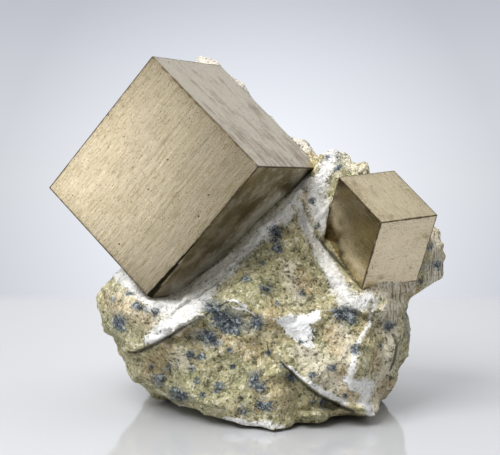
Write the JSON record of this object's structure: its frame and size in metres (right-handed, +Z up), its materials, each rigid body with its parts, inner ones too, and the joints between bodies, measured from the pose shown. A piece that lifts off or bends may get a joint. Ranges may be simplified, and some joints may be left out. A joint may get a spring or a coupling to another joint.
{
  "type": "pyrite specimen",
  "caption": "Mineral specimen: a large and a small metallic cube crystal grown in a broken lump of marl that stands on a flat underside.",
  "frame": {"origin": "a point near the middle of the rock's flat underside, on the surface that the specimen stands on", "axes": "+Z up, +X to the right and +Y away from the viewer who faces the side that shows both crystals best"},
  "size_m": [0.0972, 0.0711, 0.0865],
  "materials": {
    "marl": "matte",
    "pyrite": "satin"
  },
  "bodies": {
    "root": {"marl_matrix": "marl", "large_pyrite_cube": "pyrite", "small_pyrite_cube": "pyrite"}
  },
  "joints": []
}
